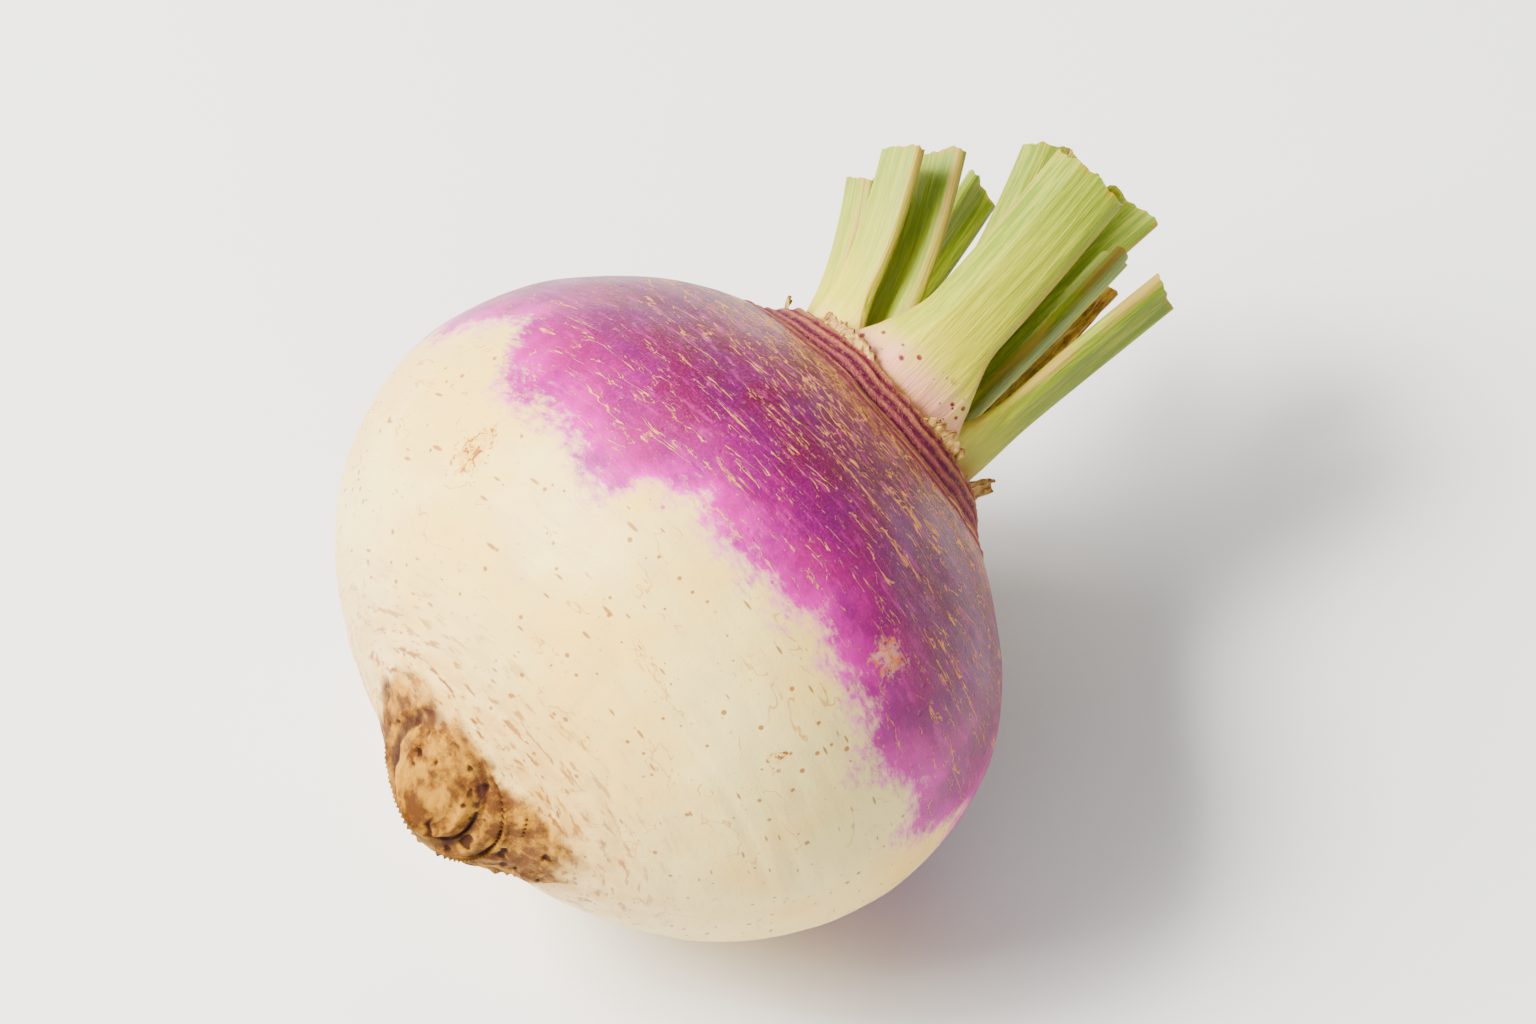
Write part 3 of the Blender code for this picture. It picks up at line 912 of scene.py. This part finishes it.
    # The stub: tan cork with dark cracks, and brown stains that run from it onto the skin.
    stain = cloud(tree, stretched(tree, skin, 1.0, 0.16, 0.16), 1.0, 5.0, 0.6)
    stained = maths(tree, "MULTIPLY", span(tree, grown, 80, 97), span(tree, stain, 0.54, 0.64))
    skin_colour = tint(tree, skin_colour, stained, colour(128, 82, 24), 1.0)
    halo = maths(tree, "MULTIPLY", span(tree, grown, 84, 97), span(tree, veins, 0.36, 0.60))
    skin_colour = tint(tree, skin_colour, halo, colour(196, 146, 72), 0.45)
    cork_cloud = cloud(tree, spot, 0.34, 5.0, 0.62)
    cork = blend_colours(tree, span(tree, cork_cloud, 0.36, 0.60), colour(198, 150, 92), colour(104, 70, 38))
    cork = blend_colours(tree, span(tree, crack, 0.10, 0.85, 0, 0.95), cork, colour(58, 34, 16))
    skin_colour = blend_colours(tree, span(tree, stub, 0.25, 0.7), skin_colour, cork)
    tree.links.new(skin_colour, shader.inputs["Base Color"])

    # Sheen and relief.
    rough = blend_colours(tree, lines, (0.34, 0.34, 0.34, 1), (0.68, 0.68, 0.68, 1))
    rough = blend_colours(tree, maths(tree, "MAXIMUM", on_neck, stub), rough, (0.78, 0.78, 0.78, 1))
    rough = blend_colours(tree, span(tree, veins, 0.4, 0.7, 0, 0.4), rough, (0.55, 0.55, 0.55, 1))
    tree.links.new(put(tree, "SeparateColor", {0: rough}).outputs[0], shader.inputs["Roughness"])
    pores = cloud(tree, spot, 2.2, 4.0, 0.65)
    relief = maths(tree, "MULTIPLY", pores, 0.05)
    relief = maths(tree, "MULTIPLY_ADD", veins, 0.10, relief)
    relief = maths(tree, "MULTIPLY_ADD", lines, 0.10, relief)
    relief = maths(tree, "MULTIPLY_ADD", maths(tree, "MAXIMUM", dots, dashes), -0.05, relief)
    relief = maths(tree, "MULTIPLY_ADD", band, 0.10, relief)
    coarse = maths(tree, "MULTIPLY", cloud(tree, stretched(tree, skin, 1.0, 0.5, 0.5), 2.4, 5.0, 0.7), 0.5)
    rough_places = maths(tree, "MAXIMUM", maths(tree, "MULTIPLY", on_neck, 0.7), stub)
    relief = maths(tree, "MULTIPLY_ADD", coarse, rough_places, relief)
    bump_into(tree, shader, relief, MM)
    shader.inputs["Subsurface Weight"].default_value = 0.06
    shader.inputs["Subsurface Radius"].default_value = (0.7, 0.5, 0.35)
    shader.inputs["Subsurface Scale"].default_value = 1.5 * MM
    return material


def stalk_flesh():
    material, tree, shader = new_material("stalk_green", 0.45, 0.3)
    strand = put(tree, "Attribute", attribute_name="strand").outputs["Vector"]
    section = put(tree, "Attribute", attribute_name="section").outputs["Vector"]
    section = put(tree, "SeparateXYZ", {0: section})
    share, wide, deep = section.outputs
    tone = put(tree, "Attribute", attribute_name="tone").outputs["Fac"]
    sheath = put(tree, "Attribute", attribute_name="sheath").outputs["Fac"]
    cut_end = put(tree, "Attribute", attribute_name="cut_end").outputs["Fac"]
    fibres = use_group(tree, FIBRES, {"Vector": strand, "Fineness": 2.2, "Waviness": 0.15})
    patch = cloud(tree, stretched(tree, strand, 0.12, 0.5, 0.5), 1.0, 3.0, 0.6)
    height = maths(tree, "MULTIPLY_ADD", maths(tree, "SUBTRACT", patch, 0.5), 0.35, share)
    pale = colour_ramp(
        tree,
        height,
        [
            (0.0, colour(222, 186, 146)),
            (0.16, colour(224, 202, 132)),
            (0.32, colour(200, 190, 62)),
            (0.60, colour(168, 172, 10)),
            (1.0, colour(132, 146, 2)),
        ],
    )
    deep_green = colour_ramp(
        tree,
        height,
        [
            (0.0, colour(200, 180, 98)),
            (0.18, colour(164, 166, 38)),
            (0.45, colour(128, 142, 8)),
            (1.0, colour(104, 122, 4)),
        ],
    )
    inner = span(tree, deep, 0.15, -0.35)
    # The tone holds each stalk's own green, and also painted shade on the outer face beyond the keel.
    green_share = maths(tree, "MAXIMUM", tone, maths(tree, "MULTIPLY", inner, 0.85))
    flesh = blend_colours(tree, green_share, pale, deep_green)
    streak = maths(tree, "MULTIPLY", fibres.outputs["Mask"], 0.26)
    flesh = blend_colours(tree, streak, flesh, colour(226, 222, 130))
    dark_streaks = cloud(tree, stretched(tree, strand, 0.03, 1.0, 1.0), 1.6, 3.0, 0.6)
    flesh = blend_colours(tree, span(tree, dark_streaks, 0.52, 0.75, 0, 0.32), flesh, colour(140, 150, 40))

    # Pinkish, brown-specked sheaths, and edges that have browned a little.
    blush = maths(tree, "MULTIPLY", span(tree, sheath, 0.35, 0.85), span(tree, patch, 0.25, 0.55))
    flesh = tint(tree, flesh, blush, colour(220, 158, 150), 0.8)
    specks = spots(tree, strand, 0.85, 0.50, 0.95)
    specks = maths(tree, "MULTIPLY", specks, span(tree, sheath, 0.35, 0.6))
    flesh = blend_colours(tree, specks, flesh, colour(112, 38, 46))
    foot = span(tree, share, 0.12, 0.03)
    flesh = tint(tree, flesh, foot, colour(186, 142, 102), 0.75)
    margin = span(tree, maths(tree, "ABSOLUTE", wide), 0.86, 0.99)
    margin = maths(tree, "MULTIPLY", margin, span(tree, patch, 0.35, 0.6))
    flesh = tint(tree, flesh, margin, colour(184, 140, 100), 0.5)

    # The cut end: pale pith with darker bundles and a browned rim.
    pith = cloud(tree, stretched(tree, strand, 0.4, 1.0, 1.0), 2.6, 3.0, 0.6)
    cut = blend_colours(tree, span(tree, pith, 0.4, 0.65), colour(204, 204, 138), colour(168, 172, 92))
    flesh = blend_colours(tree, cut_end, flesh, cut)
    rim = maths(tree, "MULTIPLY", span(tree, share, 0.975, 1.0), span(tree, patch, 0.42, 0.6))
    flesh = tint(tree, flesh, rim, colour(166, 132, 76), 0.5)
    tree.links.new(flesh, shader.inputs["Base Color"])

    tree.links.new(span(tree, fibres.outputs["Height"], 0.3, 0.7, 0.38, 0.58), shader.inputs["Roughness"])
    relief = maths(tree, "MULTIPLY", fibres.outputs["Height"], 0.20)
    relief = maths(tree, "MULTIPLY_ADD", maths(tree, "MULTIPLY", cut_end, pith), 0.4, relief)
    relief = maths(tree, "MULTIPLY_ADD", specks, 0.06, relief)
    bump_into(tree, shader, relief, MM)
    shader.inputs["Subsurface Weight"].default_value = 0.15
    shader.inputs["Subsurface Radius"].default_value = (0.7, 0.9, 0.2)
    shader.inputs["Subsurface Scale"].default_value = 1.5 * MM
    return material


def dry_leaf(name, light, dark):
    material, tree, shader = new_material(name, 0.85, 0.2)
    strand = put(tree, "Attribute", attribute_name="strand").outputs["Vector"]
    tone = put(tree, "Attribute", attribute_name="tone").outputs["Fac"]
    fibres = use_group(tree, FIBRES, {"Vector": strand, "Fineness": 1.7, "Waviness": 0.8})
    patch = cloud(tree, strand, 0.9, 4.0, 0.65)
    leaf = blend_colours(tree, span(tree, patch, 0.38, 0.64), light, dark)
    leaf = tint(tree, leaf, fibres.outputs["Mask"], colour(222, 192, 140), 0.45)
    edge = maths(tree, "MULTIPLY", span(tree, tone, 0.78, 1.0), span(tree, patch, 0.3, 0.55))
    leaf = tint(tree, leaf, edge, colour(92, 60, 40), 0.6)
    tree.links.new(leaf, shader.inputs["Base Color"])
    tree.links.new(span(tree, patch, 0.3, 0.7, 0.75, 0.95), shader.inputs["Roughness"])
    relief = maths(tree, "MULTIPLY_ADD", fibres.outputs["Height"], 0.25, maths(tree, "MULTIPLY", patch, 0.2))
    bump_into(tree, shader, relief, MM)
    return material


def table_top():
    material, tree, shader = new_material("table", 0.6, 0.3)
    spot = put(tree, "TexCoord").outputs["Object"]
    faint = cloud(tree, spot, 14.0, 3.0, 0.5)
    shade = blend_colours(tree, faint, (0.86, 0.86, 0.86, 1), (0.89, 0.89, 0.89, 1))
    tree.links.new(shade, shader.inputs["Base Color"])
    return material


# ---------------------------------------------------------------------------------------------
# The turnip.

skin_material = root_skin()
flesh_material = stalk_flesh()
sheath_material = dry_leaf("dry_sheath", colour(178, 148, 104), colour(98, 72, 52))
withered_material = dry_leaf("withered_leaf", colour(160, 128, 70), colour(104, 72, 44))

place(root_body(), skin_material, "root_skin", "root")
for count, (name, row) in enumerate(STALKS.items()):
    if name == "withered_stalk":
        place(stalk(name, row, 40 + count), withered_material, "dry_leaf", name)
    else:
        place(stalk(name, row, 10 + 3 * count), flesh_material, "green_stalk", name)
for count, (name, row) in enumerate(FLAKES.items()):
    place(flake(name, row, 80 + 5 * count), sheath_material, "dry_leaf", name)

# ---------------------------------------------------------------------------------------------
# The table, the light and the camera.

select_none()
bpy.ops.mesh.primitive_plane_add(size=8)
table = name_new("table")
table.data.materials.append(table_top())
table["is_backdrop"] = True

VIEW_TURN = math.radians(-46)
VIEW_RISE = math.radians(62)
forward = Vector((-math.sin(VIEW_TURN), math.cos(VIEW_TURN), 0))
to_camera = -forward * math.cos(VIEW_RISE) + Vector((0, 0, 1)) * math.sin(VIEW_RISE)
to_right = Vector((math.cos(VIEW_TURN), math.sin(VIEW_TURN), 0))
to_top = to_camera.cross(to_right)


def add_light(name, direction, distance, size, watts, tint=(1, 1, 1)):
    """A soft light, from a direction given as right, up and towards the camera."""
    right, up, near = direction
    away = (to_right * right + to_top * up + to_camera * near).normalized()
    target = Vector((0.005, 0, AXIS_HEIGHT))
    lamp = bpy.data.objects.new(name, bpy.data.lights.new(name, "AREA"))
    lamp.data.shape = "RECTANGLE"
    lamp.data.size, lamp.data.size_y = size
    lamp.data.energy = watts
    lamp.data.color = tint
    lamp.location = target + away * distance
    lamp.rotation_mode = "QUATERNION"
    lamp.rotation_quaternion = away.to_track_quat("Z", "Y")
    bpy.context.scene.collection.objects.link(lamp)


add_light("key", (-0.66, 0.34, 0.67), 0.9, (0.6, 0.6), 24.0, (1.0, 0.965, 0.91))
add_light("window", (-0.54, 0.38, 0.75), 0.9, (0.24, 0.24), 15.0, (1.0, 0.97, 0.93))
add_light("fill", (0.75, 0.1, 0.65), 1.3, (0.9, 0.9), 1.8, (0.97, 0.98, 1.0))
add_light("top", (0.1, 0.9, 0.45), 1.2, (0.7, 0.7), 5.0)

world = bpy.data.worlds.new("studio")
world.use_nodes = True
world.node_tree.nodes["Background"].inputs["Color"].default_value = (1, 1, 1, 1)
world.node_tree.nodes["Background"].inputs["Strength"].default_value = 0.34
bpy.context.scene.world = world

CAMERA_DISTANCE = 1.3
FRAME_HEIGHT = 0.111
camera = bpy.data.objects.new("camera", bpy.data.cameras.new("camera"))
camera.data.sensor_width = 36
camera.data.lens = 24 * CAMERA_DISTANCE / FRAME_HEIGHT
low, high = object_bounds()
middle = (low + high) / 2
camera.location = middle + to_camera * CAMERA_DISTANCE
camera.rotation_mode = "QUATERNION"
camera.rotation_quaternion = to_camera.to_track_quat("Z", "Y")
camera.data.clip_end = 20
bpy.context.scene.collection.objects.link(camera)
bpy.context.scene.camera = camera
